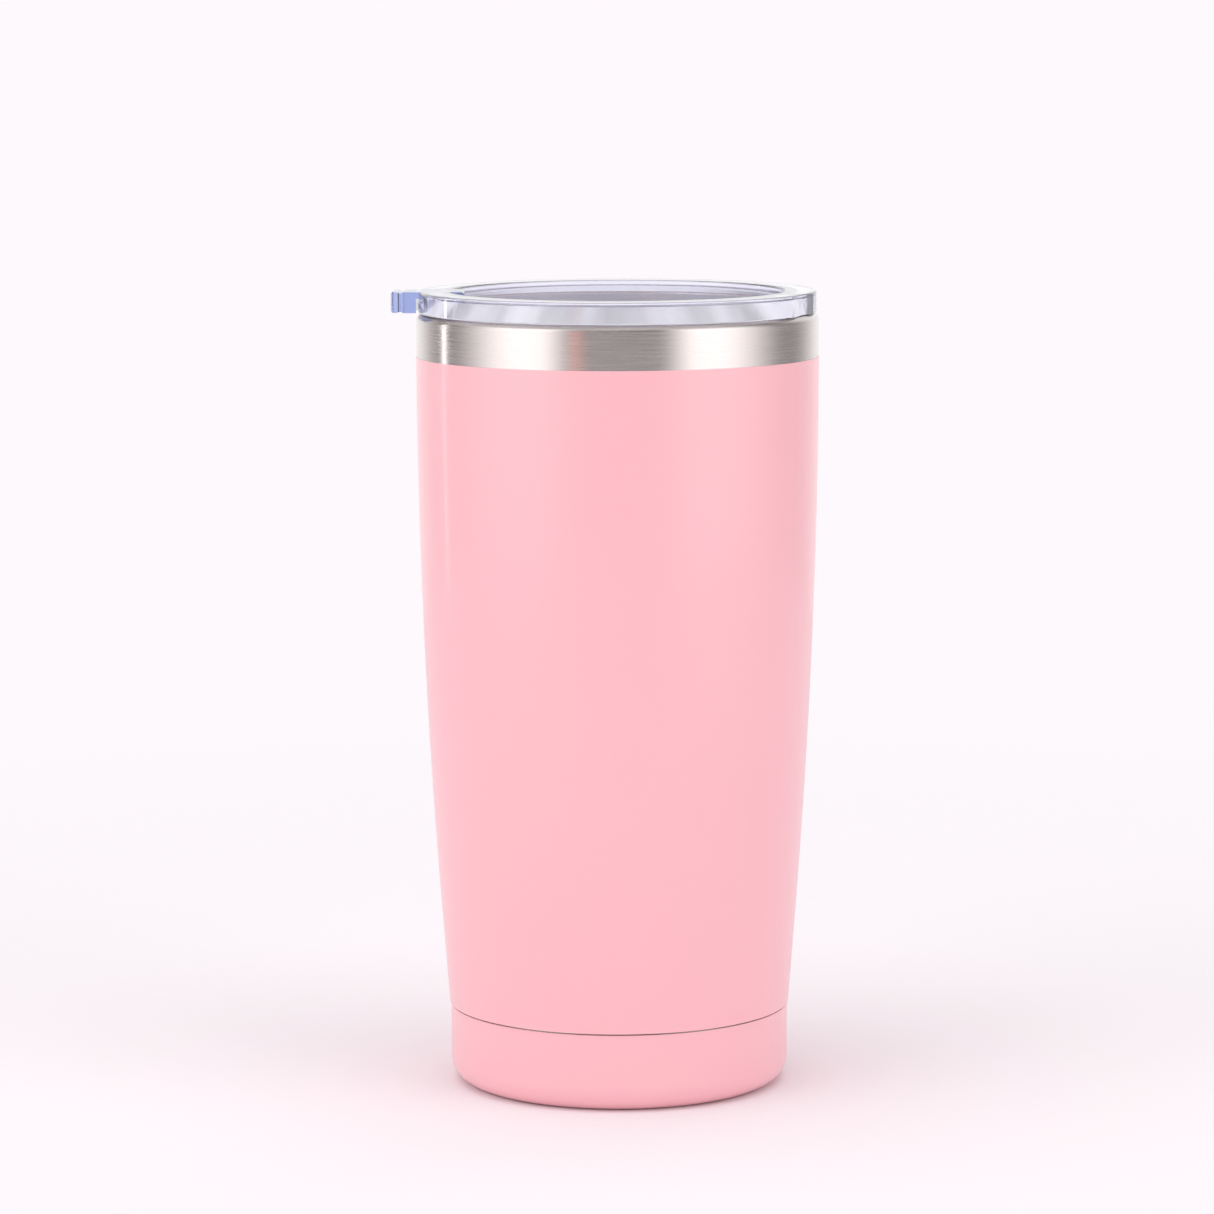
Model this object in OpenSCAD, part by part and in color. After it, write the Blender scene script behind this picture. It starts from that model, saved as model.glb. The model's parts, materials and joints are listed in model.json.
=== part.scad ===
// Vacuum insulated tumbler with a clear press-in lid and a flip flap.
// Origin at the centre of the base, +Z up, the flap's thumb tab points along -X.

/* [Body] */
// Outer diameter of the bare steel at the rim
rim_d = 87; // [82:0.5:92]
// Height of the steel band's upper edge above the table
rim_z = 168.3; // [155:0.1:190]
// Straight height under the rim, above the long side curve
straight_h = 5.2; // [2:0.1:8]
// Radius of the long side curve
curve_r = 1632; // [1400:2:2000]
// Half angle of the cone below the curve
taper = 4.4; // [3.6:0.1:4.8]
// Height of the bare steel band under the rim
band_h = 9.1; // [6:0.1:14]
// Radius of the band's rounded upper edge
rim_edge_r = 1.1; // [0.8:0.1:1.5]
// Slope of the bevel from that edge up to the lip
bevel_angle = 42; // [38:1:45]
// Height of the joint between the body and the base cup
seam_z = 17; // [15:0.1:22]
// Width of the open joint line
seam_gap = 0.35; // [0.2:0.05:0.6]

/* [Walls] */
// Sheet thickness of the outer shell
shell_t = 0.5; // [0.4:0.05:0.6]
// Sheet thickness of the liner
liner_t = 0.5; // [0.4:0.05:0.6]
// Vacuum space between shell and liner
vacuum_gap = 3; // [2.4:0.1:3.4]
// Thickness of the colour coat
coat_t = 0.12; // [0.08:0.01:0.2]
// Height of the weld between the liner's wall and bottom
liner_weld_z = 34; // [30:0.5:50]
// Outer radius of the liner's bottom corner
liner_corner_r = 9; // [6:0.5:12]
// Vacuum space under the liner's floor
floor_gap = 4.7; // [4:0.1:8]

/* [Base cup] */
// Wall of the base cup with its coat
base_t = 0.6; // [0.5:0.05:0.8]
// How far the cup stands in from the painted body at the joint
base_step = 0.25; // [0:0.05:0.5]
// Radius of the rounded bottom edge
base_corner_r = 5.2; // [3:0.1:7]
// Width of the flat ring that the cup stands on
base_ring_w = 6; // [4:0.5:10]
// Depth of the recess inside that ring
base_recess_h = 1; // [0.5:0.1:2]
// Clearance between the cup and the shell's neck
neck_fit = 0.1; // [0.05:0.01:0.2]

/* [Vacuum closure] */
// Sheet thickness of the pan that closes the shell
pan_t = 0.6; // [0.5:0.05:0.8]
// Height of the pan's skirt
pan_h = 4; // [3:0.1:5]
// Radius of the pan's edge
pan_edge_r = 1.5; // [1:0.1:2.5]
// Diameter of the sealing dimple in the pan
dimple_d = 13; // [10:0.5:16]
// Depth of the sealing dimple
dimple_h = 1.6; // [1.2:0.1:2.2]
// Diameter of the evacuation hole
evac_d = 1.8; // [1:0.1:2.4]
// Clearance at welded and filled joints
weld_fit = 0.05; // [0.02:0.01:0.1]
// Diameter of the getter pellet
getter_d = 9; // [7:0.5:11]
// Height of the getter pellet
getter_h = 1.8; // [1.2:0.1:2.2]
// Sheet thickness of the getter's holder
getter_t = 0.4; // [0.3:0.05:0.6]
// Distance of the getter from the axis
getter_x = 17; // [14:0.5:24]

/* [Lid] */
// Height of the lid's flange
flange_h = 4.7; // [4.6:0.1:6.5]
// How far the flange stands in from the rim
flange_inset = 0.4; // [0:0.1:1]
// Radius of the flange's upper edges
flange_top_r = 0.6; // [0.3:0.1:0.8]
// Radius of the flange's lower edge
flange_low_r = 0.4; // [0.2:0.1:0.6]
// Gap between the rim and the flange at rest
lid_rest_gap = 0.3; // [0.2:0.05:0.4]
// Depth of the well in the lid's top
well_h = 8; // [7:0.5:10]
// Thickness of the well's floor
panel_t = 2.4; // [1.8:0.1:2.6]
// Depth of the plug below the flange
plug_h = 11; // [9:0.5:16]
// Wall of the plug
plug_t = 2.8; // [2.4:0.1:3.6]
// Radial clearance between the plug and the mouth
plug_fit = 0.6; // [0.4:0.05:1]
// Radius of the plug's lower edges
plug_edge_r = 0.8; // [0.4:0.1:1]
// Diameter of the vent hole
vent_d = 2.4; // [1.5:0.1:3]
// Land between the vent hole and the plug's wall
vent_land = 0.9; // [0.5:0.1:3]
// Direction of the trimmed moulding gate, from +X towards -Y
gate_angle = 22; // [10:1:60]
// Width of the flat left by the gate
gate_w = 13; // [8:0.2:15]

/* [Gasket] */
// Height of the gasket groove
groove_h = 3.8; // [3:0.1:5]
// Depth of the gasket groove
groove_depth = 1.3; // [1:0.1:1.6]
// Height of the groove above the plug's lower end
groove_lift = 4; // [2:0.1:6]
// Clearance between the gasket and its groove
gasket_fit = 0.15; // [0.1:0.05:0.25]
// Radius of each sealing lip
lip_r = 0.6; // [0.4:0.05:0.7]
// Clearance between the sealing lips and the mouth
lip_fit = 0.2; // [0.1:0.05:0.3]

/* [Flap] */
// Width of the flap inside the well
flap_w = 20; // [18:0.5:26]
// Thickness of the flap inside the well
flap_t = 2.8; // [2.2:0.1:3.2]
// Thickness of the neck that crosses the rim
neck_t = 1.4; // [1.2:0.1:1.6]
// Thickness of the riser from the flap up to the neck
riser_t = 2.8; // [2.2:0.1:3.4]
// Width of the riser, the neck and the thumb tab
tab_w = 11; // [9:0.5:14]
// Reach of the thumb tab past the flange
tab_reach = 5.8; // [4:0.1:9]
// Gap between the thumb tab and the flange
tab_gap = 0.6; // [0.5:0.1:1]
// Radius of the tab's corners in plan
tab_corner_r = 2.4; // [1:0.1:4]
// Radius of the tab's upper and lower edges
tab_edge_r = 0.7; // [0.3:0.1:1.2]
// Height of the tab's lower edge above the flange's lower face
tab_lift = 0.2; // [0:0.1:1]
// Radius of the grip grooves across the tab
grip_r = 0.9; // [0.6:0.1:1.2]
// Depth of the grip grooves
grip_depth = 0.25; // [0.1:0.05:0.4]
// Distance of the grip grooves from the tab's end
grip_x = 2.1; // [1.6:0.1:2.4]
// Clearance around the flap
flap_fit = 0.3; // [0.2:0.05:0.5]
// Distance of the hinge from the lid's axis
hinge_x = 20; // [17:0.5:21]
// Radius of the hinge barrel
barrel_r = 2.1; // [1.8:0.1:2.3]
// How far the barrel stands below the flap's underside
barrel_drop = 0.2; // [0.1:0.05:0.3]
// Diameter of the hinge trunnions
trunnion_d = 2.2; // [1.6:0.1:2.4]
// Length of each trunnion
trunnion_l = 2; // [1.5:0.1:3]
// Radial clearance of the trunnions in their sockets
trunnion_fit = 0.15; // [0.08:0.01:0.2]
// Angle at which the open flap stops
flap_open = 130; // [120:1:140]
// Thickness of the rib that stops it
stop_t = 1.6; // [1.2:0.1:2.4]
// Wall around the trunnion sockets
ear_t = 1.2; // [0.9:0.1:1.6]
// Wall beside the neck where it crosses the rim
bridge_t = 2; // [1.4:0.1:2.4]
// Length of the sip hole
sip_l = 15; // [11:0.5:16]
// Width of the sip hole
sip_w = 7; // [5:0.1:7.6]
// Land between the sip hole and the plug's wall
sip_land = 2.1; // [1.6:0.1:3]
// Draft of the sip hole and its stopper on each side
sip_draft = 0.45; // [0.35:0.05:0.55]
// Height of the silicone stopper
stopper_h = 3.2; // [2.6:0.1:3.4]
// Wall of the silicone stopper
stopper_t = 1.2; // [0.9:0.1:1.5]
// Clearance between the stopper and the sip hole
stopper_fit = 0.25; // [0.2:0.05:0.4]

/* [Hidden] */
$fn = 120;
curve_steps = 24;
eps = 0.01;
// How far a cut runs past the face it opens
over = 1;

// Body curve: a straight top, one long arc and a cone, all tangent
rim_r = rim_d / 2;
curve_top_z = rim_z - straight_h;
cone_top_z = curve_top_z - curve_r * sin(taper);
cone_top_r = rim_r - curve_r * (1 - cos(taper));
band_z = rim_z - band_h;
seam_top_z = seam_z + seam_gap;

// Liner and mouth
liner_inset = shell_t + vacuum_gap;
bore_inset = liner_inset + liner_t;
mouth_r = rim_r - bore_inset;
// The band's edge turns into a bevel, which ends in a round lip on the liner
bevel_n = [sin(bevel_angle), cos(bevel_angle)];
edge_c = [rim_r - rim_edge_r, rim_z - rim_edge_r];
bead_r = max(shell_t, liner_t);
lip_c = [mouth_r + bead_r, bevel_z(mouth_r + bead_r, -bead_r)];
lip_top_z = lip_c.y + bead_r;

// Base cup, neck and closing pan
base_r = body_r(seam_z) + coat_t - base_step;
neck_r = base_r - base_t - neck_fit;
neck_z = base_corner_r + base_t;
pan_r = neck_r - shell_t - weld_fit;
pan_top_z = neck_z + pan_h;
liner_under_z = pan_top_z + floor_gap;

// Lid
lid_z = rim_z + lid_rest_gap;
lid_top_z = lid_z + flange_h;
flange_r = rim_r - flange_inset;
plug_r = mouth_r - plug_fit;
plug_in_r = plug_r - plug_t;
plug_z = lid_z - plug_h;
well_z = lid_top_z - well_h;
panel_z = well_z - panel_t;
groove_z = plug_z + groove_lift;
groove_r = plug_r - groove_depth;
vent_x = plug_in_r - vent_land - vent_d / 2;
gate_r = sqrt(pow(flange_r, 2) - pow(gate_w / 2, 2));

// Flap, its hinge and the rib that stops it
tab_x = flange_r + tab_reach;
tab_z = lid_z + tab_lift;
neck_low_z = lid_top_z - neck_t;
notch_w = tab_w + 2 * flap_fit;
flap_r = plug_in_r - flap_fit;
riser_x = flap_r - riser_t;
hinge_z = well_z + flap_fit + barrel_r;
flap_z = hinge_z - barrel_r + barrel_drop;
flap_top_z = flap_z + flap_t;
socket_r = trunnion_d / 2 + trunnion_fit;
ear_y = flap_w / 2 + flap_fit;
sip_x = plug_in_r - sip_land - sip_w / 2;
stop_x = barrel_r + flap_fit;
// The open flap's upper face clears the rib's edge by flap_fit
stop_z = hinge_z + (flap_top_z + flap_fit - hinge_z - stop_x * sin(flap_open)) / cos(flap_open);

// Steel radius of the body at a height
function body_r(z) =
    z >= curve_top_z ? rim_r :
    z >= cone_top_z ? rim_r - curve_r + sqrt(pow(curve_r, 2) - pow(curve_top_z - z, 2)) :
    cone_top_r - (cone_top_z - z) * tan(taper);

// Height of the bevel at a radius, moved out of the steel by a distance
function bevel_z(r, away) =
    edge_c.y + (rim_edge_r + away) / cos(bevel_angle) + (edge_c.x - r) * tan(bevel_angle);

// Evenly spaced heights between two levels
function heights(low, high, steps = curve_steps) =
    [for (i = [0:steps]) low + (high - low) * i / steps];

// Points of the body curve at some heights, moved in from the steel surface
function side(levels, inset) = [for (z = levels) [body_r(z) - inset, z]];

function backwards(list) = [for (i = [len(list) - 1:-1:0]) list[i]];

// Levels that shell and coat share, so that their faces meet
coat_levels = heights(seam_top_z, band_z);
band_levels = [curve_top_z, rim_z - rim_edge_r];

// Section of a cup: a flat floor at z = 0 and a rounded bottom edge
module cup_section(r, edge, h) {
    square([r - edge, h]);
    translate([0, edge]) square([r, h - edge]);
    translate([r - edge, edge]) circle(edge);
}

// Section of a ring, with rounded upper edges and a rounded outer lower edge
module ring_section(width, h, low, top) {
    square([width - low, h / 2]);
    translate([0, low]) square([width, h - low - top]);
    translate([top, h / 2]) square([width - 2 * top, h / 2]);
    translate([width - low, low]) circle(low);
    for (x = [top, width - top])
        translate([x, h - top]) circle(top);
}

// Long hole or plug with round ends along Y, narrower at the bottom
module stadium(length, top_r, low_r, h) {
    reach = length / 2 - top_r;
    for (end = [-1, 1])
        translate([0, end * reach, 0]) cylinder(r1 = low_r, r2 = top_r, h = h);
    translate([0, reach, 0])
        rotate([90, 0, 0])
            linear_extrude(2 * reach)
                polygon([[-low_r, 0], [low_r, 0], [top_r, h], [-top_r, h]]);
}

// Round bar along Y through the hinge axis
module hinge_bar(r, length) {
    translate([-hinge_x, length / 2, hinge_z])
        rotate([90, 0, 0])
            cylinder(r = r, h = length);
}

// Drawn steel tube with a bevelled, rounded lip and a neck for the base cup
module outer_shell() {
    wall_levels = heights(seam_top_z + shell_t, curve_top_z);
    color("silver") rotate_extrude() {
        difference() {
            union() {
                polygon(concat(
                    [[neck_r, neck_z], [neck_r, seam_top_z]],
                    side(coat_levels, 0),
                    side(band_levels, 0),
                    [edge_c + rim_edge_r * bevel_n, lip_c + bead_r * bevel_n],
                    [lip_c + (bead_r - shell_t) * bevel_n, edge_c + (rim_edge_r - shell_t) * bevel_n],
                    backwards(side(band_levels, shell_t)),
                    backwards(side(wall_levels, shell_t)),
                    [[neck_r - shell_t, seam_top_z + shell_t], [neck_r - shell_t, neck_z]]
                ));
                translate(edge_c) intersection() {
                    circle(rim_edge_r);
                    polygon([[0, 0], [2 * rim_edge_r, 0], 3 * rim_edge_r * bevel_n]);
                }
            }
            translate(edge_c) circle(rim_edge_r - shell_t);
        }
        translate(lip_c) intersection() {
            circle(bead_r);
            translate([-bead_r, 0]) square(2 * bead_r);
        }
    }
}

// Pink coat on the shell, from the joint up to the bare band
module colour_coat() {
    color("pink") rotate_extrude()
        polygon(concat(side(coat_levels, -coat_t), backwards(side(coat_levels, 0))));
}

// Tapered inner tube, welded under the lip
module liner_wall() {
    levels = heights(liner_weld_z, lip_c.y);
    color("gainsboro") rotate_extrude()
        polygon(concat(side(levels, liner_inset), backwards(side(levels, bore_inset))));
}

// Drawn bottom of the liner, with a rounded corner
module liner_bottom() {
    corner_z = liner_under_z + liner_corner_r;
    touch_z = corner_z - liner_corner_r * sin(taper);
    corner_x = body_r(touch_z) - liner_inset - liner_corner_r * cos(taper);
    levels = heights(touch_z, liner_weld_z, 6);
    color("gainsboro") rotate_extrude() {
        polygon(concat(side(levels, liner_inset), backwards(side(levels, bore_inset))));
        intersection() {
            translate([corner_x, corner_z]) difference() {
                circle(liner_corner_r);
                circle(liner_corner_r - liner_t);
            }
            translate([corner_x, corner_z])
                polygon([
                    [0, 0],
                    [2 * liner_corner_r, -2 * liner_corner_r * tan(taper)],
                    [2 * liner_corner_r, -2 * liner_corner_r],
                    [0, -2 * liner_corner_r]
                ]);
        }
        translate([0, liner_under_z]) square([corner_x, liner_t]);
    }
}

// Pressed pan that closes the shell's neck, with the sealing dimple
module vacuum_pan() {
    dimple_r = dimple_d / 2;
    color("silver") translate([0, 0, neck_z]) rotate_extrude() difference() {
        union() {
            translate([0, pan_h]) mirror([0, 1]) cup_section(pan_r, pan_edge_r, pan_h);
            square([dimple_r, pan_h + dimple_h]);
        }
        translate([0, pan_h - pan_t]) mirror([0, 1])
            cup_section(pan_r - pan_t, pan_edge_r - pan_t, pan_h);
        square([dimple_r - pan_t, pan_h + dimple_h - pan_t]);
        square([evac_d / 2, 2 * pan_h + dimple_h]);
    }
}

// Glass solder that fills the dimple and its hole
module seal_bead() {
    bead_h = dimple_h;
    color("darkslategray") translate([0, 0, pan_top_z - pan_t]) {
        cylinder(r = dimple_d / 2 - pan_t - weld_fit, h = bead_h);
        cylinder(r = evac_d / 2 - weld_fit, h = bead_h + pan_t);
    }
}

// Shallow dish on the pan that carries the getter
module getter_holder() {
    dish_r = getter_d / 2 + weld_fit + getter_t;
    color("lightslategray") translate([getter_x, 0, pan_top_z]) difference() {
        cylinder(r = dish_r, h = getter_t + getter_h);
        translate([0, 0, getter_t]) cylinder(r = dish_r - getter_t, h = getter_h + eps);
    }
}

// Pressed pellet that binds stray gas in the vacuum
module getter_pellet() {
    color("dimgray") translate([getter_x, 0, pan_top_z + getter_t])
        cylinder(d = getter_d, h = getter_h);
}

// Painted cup over the neck, standing on a ring
module base_cup() {
    ring_r = base_r - base_corner_r - base_ring_w;
    bend = base_t * (sqrt(2) - 1);
    color("lightpink") rotate_extrude() {
        difference() {
            cup_section(base_r, base_corner_r, seam_z);
            translate([0, base_t]) cup_section(base_r - base_t, base_corner_r - base_t, seam_z);
            square([ring_r, seam_z]);
        }
        polygon([
            [0, base_recess_h],
            [ring_r - base_recess_h, base_recess_h],
            [ring_r, 0],
            [ring_r + bend, base_t],
            [ring_r - base_recess_h + bend, base_recess_h + base_t],
            [0, base_recess_h + base_t]
        ]);
    }
}

// Flange, plug and well floor of the lid, before the flap's cuts
module lid_blank() {
    skirt_r = rim_r + over;
    rotate_extrude() {
        difference() {
            union() {
                translate([plug_in_r, lid_z])
                    ring_section(flange_r - plug_in_r, flange_h, flange_low_r, flange_top_r);
                translate([plug_in_r, plug_z])
                    ring_section(plug_t, plug_h + flange_h / 2, plug_edge_r, plug_edge_r);
            }
            polygon([
                [plug_r, bevel_z(skirt_r, lid_rest_gap)],
                [skirt_r, bevel_z(skirt_r, lid_rest_gap)],
                [plug_r, bevel_z(plug_r, lid_rest_gap)]
            ]);
            translate([groove_r, groove_z]) square([groove_depth + over, groove_h]);
        }
        translate([0, panel_z]) square([plug_in_r + eps, panel_t]);
    }
}

// Two ears and a stop rib on the well's floor, in which the flap turns
module hinge_bracket() {
    ear_r = socket_r + ear_t;
    ear_w = trunnion_l + ear_t;
    bracket_w = 2 * (ear_y + ear_w);
    wall_z = well_z - eps;
    for (side = [0, 1])
        mirror([0, side, 0]) translate([-hinge_x, ear_y, 0]) {
            translate([-ear_r, 0, wall_z])
                cube([ear_r + stop_x + stop_t / 2, ear_w, stop_z - wall_z]);
            translate([0, ear_w, hinge_z]) rotate([90, 0, 0]) cylinder(r = ear_r, h = ear_w);
        }
    translate([stop_x - hinge_x, -bracket_w / 2, wall_z])
        cube([stop_t, bracket_w, stop_z - wall_z]);
}

// Filling of the rim's groove where the neck crosses it
module neck_bridge() {
    bridge_w = notch_w + 2 * bridge_t;
    bridge_z = lip_top_z + lid_rest_gap;
    translate([0, 0, bridge_z])
        linear_extrude(lid_top_z - flange_top_r - bridge_z) intersection() {
            difference() {
                circle((lip_c.x + flange_r) / 2);
                circle((plug_in_r + plug_r) / 2);
            }
            translate([-flange_r, -bridge_w / 2]) square([flange_r, bridge_w]);
        }
}

// Clear moulded lid
module lid_body() {
    color("lightcyan", 0.6) difference() {
        union() {
            lid_blank();
            hinge_bracket();
            neck_bridge();
        }
        hinge_bar(socket_r, 2 * (ear_y + trunnion_l));
        translate([-tab_x, -notch_w / 2, neck_low_z - flap_fit])
            cube([tab_x - riser_x, notch_w, flange_h]);
        translate([-sip_x, 0, panel_z - eps])
            stadium(sip_l, sip_w / 2, sip_w / 2 - sip_draft, panel_t + 2 * eps);
        translate([vent_x, 0, panel_z - over]) cylinder(d = vent_d, h = panel_t + 2 * over);
        rotate([0, 0, -gate_angle])
            translate([gate_r, -gate_w / 2 - over, lid_z - over])
                cube([flange_r - gate_r + over, gate_w + 2 * over, flange_h + 2 * over]);
    }
}

// Silicone ring with two sealing lips
module lid_gasket() {
    ring_h = groove_h - 2 * gasket_fit;
    ring_r = groove_r + gasket_fit;
    lip_x = mouth_r - lip_fit - lip_r;
    color("whitesmoke") translate([0, 0, groove_z + gasket_fit]) rotate_extrude() {
        translate([ring_r, 0]) square([lip_x - ring_r, ring_h]);
        for (z = [lip_r, ring_h - lip_r])
            translate([lip_x, z]) circle(lip_r);
    }
}

// Plan of the riser, the neck and the thumb tab, with rounded corners
module tab_plan() {
    half = tab_w / 2;
    translate([-tab_x + tab_corner_r, -half])
        square([tab_x - tab_corner_r - hinge_x, tab_w]);
    translate([-tab_x, -half + tab_corner_r])
        square([tab_corner_r, tab_w - 2 * tab_corner_r]);
    for (edge = [-1, 1])
        translate([-tab_x + tab_corner_r, edge * (half - tab_corner_r)]) circle(tab_corner_r);
}

// Side view from the riser to the thumb tab and its grip grooves
module tab_profile() {
    tab_h = lid_top_z - tab_z;
    tab_l = tab_x - riser_x;
    riser_z = flap_top_z - flap_t / 2;
    difference() {
        union() {
            translate([tab_edge_r - tab_x, tab_z]) square([tab_l - 2 * tab_edge_r, tab_h]);
            translate([-tab_x, tab_z + tab_edge_r]) square([tab_l, tab_h - 2 * tab_edge_r]);
            translate([-plug_in_r, riser_z])
                square([plug_in_r - riser_x, lid_top_z - tab_edge_r - riser_z]);
            for (x = [tab_edge_r - tab_x, -riser_x - tab_edge_r])
                for (z = [tab_z + tab_edge_r, lid_top_z - tab_edge_r])
                    translate([x, z]) circle(tab_edge_r);
        }
        for (z = [tab_z - grip_r + grip_depth, lid_top_z + grip_r - grip_depth])
            translate([grip_x - tab_x, z]) circle(grip_r);
    }
}

// Clear flap that turns on two trunnions and closes the sip hole
module flap() {
    boss_r = sip_w / 2 - stopper_fit - stopper_t;
    color("lightskyblue", 0.7) {
        difference() {
            union() {
                translate([-plug_r, -flap_w / 2, flap_z]) cube([plug_r - hinge_x, flap_w, flap_t]);
                intersection() {
                    translate([0, 0, flap_z]) linear_extrude(well_h) tab_plan();
                    translate([0, tab_w, 0])
                        rotate([90, 0, 0])
                            linear_extrude(2 * tab_w) tab_profile();
                }
            }
            translate([0, 0, flap_z - over])
                linear_extrude(neck_low_z - flap_z + over) difference() {
                    circle(flange_r + tab_gap);
                    circle(flap_r);
                }
        }
        hinge_bar(barrel_r, flap_w);
        hinge_bar(trunnion_d / 2, flap_w + 2 * trunnion_l);
        translate([-sip_x, 0, flap_z - stopper_h + stopper_t])
            stadium(sip_l - 2 * (stopper_fit + stopper_t), boss_r, boss_r, stopper_h - stopper_t + eps);
    }
}

// Silicone cap on the flap's boss that plugs the sip hole
module flap_stopper() {
    top_r = sip_w / 2 - stopper_fit;
    boss_r = top_r - stopper_t;
    color("white") translate([-sip_x, 0, flap_z - stopper_h]) difference() {
        stadium(sip_l - 2 * stopper_fit, top_r, top_r - 2 * sip_draft, stopper_h);
        translate([0, 0, stopper_t])
            stadium(sip_l - 2 * (stopper_fit + stopper_t), boss_r, boss_r, stopper_h);
    }
}

outer_shell();
colour_coat();
liner_wall();
liner_bottom();
vacuum_pan();
seal_bead();
getter_holder();
getter_pellet();
base_cup();
lid_body();
lid_gasket();
flap();
flap_stopper();
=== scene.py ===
"""Looks of an insulated tumbler with a clear flip-flap lid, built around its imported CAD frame."""

import json
import math

import bmesh
import bpy
from bpy.props import FloatProperty, FloatVectorProperty, PointerProperty
from mathutils import Matrix, Vector


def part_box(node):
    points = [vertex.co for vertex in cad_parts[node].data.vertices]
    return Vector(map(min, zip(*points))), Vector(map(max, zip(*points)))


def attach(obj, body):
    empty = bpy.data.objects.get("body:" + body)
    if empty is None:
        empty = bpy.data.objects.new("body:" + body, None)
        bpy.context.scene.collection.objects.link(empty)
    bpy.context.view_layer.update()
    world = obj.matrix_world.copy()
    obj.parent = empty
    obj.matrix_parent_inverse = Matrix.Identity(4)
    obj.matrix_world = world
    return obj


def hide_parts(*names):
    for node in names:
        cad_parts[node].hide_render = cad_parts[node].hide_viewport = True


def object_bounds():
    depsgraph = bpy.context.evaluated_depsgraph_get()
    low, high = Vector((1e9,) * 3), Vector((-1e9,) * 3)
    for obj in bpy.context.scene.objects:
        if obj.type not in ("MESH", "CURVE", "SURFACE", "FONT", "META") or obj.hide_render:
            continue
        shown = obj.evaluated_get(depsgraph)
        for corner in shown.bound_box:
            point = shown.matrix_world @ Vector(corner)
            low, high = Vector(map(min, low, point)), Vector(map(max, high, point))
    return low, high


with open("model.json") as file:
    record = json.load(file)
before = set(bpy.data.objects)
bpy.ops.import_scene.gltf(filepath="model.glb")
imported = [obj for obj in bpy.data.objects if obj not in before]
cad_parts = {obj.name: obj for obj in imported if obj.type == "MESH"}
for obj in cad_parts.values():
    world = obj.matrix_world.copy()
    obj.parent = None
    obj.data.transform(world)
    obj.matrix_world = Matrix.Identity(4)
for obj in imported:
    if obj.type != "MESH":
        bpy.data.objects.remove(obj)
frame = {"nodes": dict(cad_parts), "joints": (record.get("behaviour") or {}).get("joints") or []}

bl_info = {
    "name": "Insulated Tumbler",
    "version": (1, 0, 0),
    "blender": (4, 5, 0),
    "location": "View3D > Sidebar > Tumbler",
    "description": "Dresses the packed tumbler with its paint, steel, clear lid and studio",
    "category": "Object",
}

CAD_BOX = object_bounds()
MM = 0.001
SPIN_STEPS = 192
ROD_STEPS = 64
# Points nearer than this are one point, and faces that turn by less than this are one face
MERGE = 1e-6
FLAT = math.radians(1)
# An edge that turns by more than the first is shaded sharp, by more than the second it is bevelled
SHARP_EDGE = math.radians(35)
SQUARE_EDGE = math.radians(60)
# Depths of plastic at which its tints are as deep as they are written
CLEAR_DEPTH_MM = 8
BLUE_DEPTH_MM = 11
# Room past a solid's faces for a tool that cuts right through it
HAIR = 0.01 * MM
# What the camera sees behind the tumbler, and on the far paper
WHITE = "#FEF9FD"
# The paper's radius, and where it starts to glow and is full white, in metres from the axis
PAPER_RADIUS = 0.75
GLOW_START = 0.12
GLOW_FULL = 0.6


def linear(hex_colour):
    """Linear RGB of an sRGB hex colour."""
    channels = [int(hex_colour[i:i + 2], 16) / 255 for i in (1, 3, 5)]
    return tuple(c / 12.92 if c <= 0.04045 else ((c + 0.055) / 1.055) ** 2.4 for c in channels)


def rgba(colour):
    """A colour property with full alpha, as a shader socket takes it."""
    return (*colour, 1.0)


class TumblerSizes(bpy.types.PropertyGroup):
    """Sizes of the pieces that the frame's boxes don't give."""

    curve_radius: FloatProperty(
        name="Side curve", description="Radius of the long curve of the body's side",
        default=1632 * MM, unit="LENGTH")
    taper: FloatProperty(
        name="Taper", description="Half angle of the cone below the side curve",
        default=math.radians(4.4), subtype="ANGLE")
    shoulder: FloatProperty(
        name="Shoulder", description="Height of the steel band's upper edge",
        default=168.3 * MM, unit="LENGTH")
    straight_height: FloatProperty(
        name="Straight top", description="Straight height under the shoulder, above the side curve",
        default=5.2 * MM, unit="LENGTH")
    shoulder_radius: FloatProperty(
        name="Shoulder radius", description="Rounding of the steel band's upper edge",
        default=1.1 * MM, unit="LENGTH")
    bevel: FloatProperty(
        name="Lip bevel", description="Slope of the steel between the shoulder and the lip",
        default=math.radians(42), subtype="ANGLE")
    sheet: FloatProperty(
        name="Sheet", description="Thickness of the steel sheet",
        default=0.5 * MM, unit="LENGTH")
    paint_edge: FloatProperty(
        name="Paint edge", description="Rounding of the paint skin's upper and lower edges",
        default=0.05 * MM, unit="LENGTH")


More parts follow.
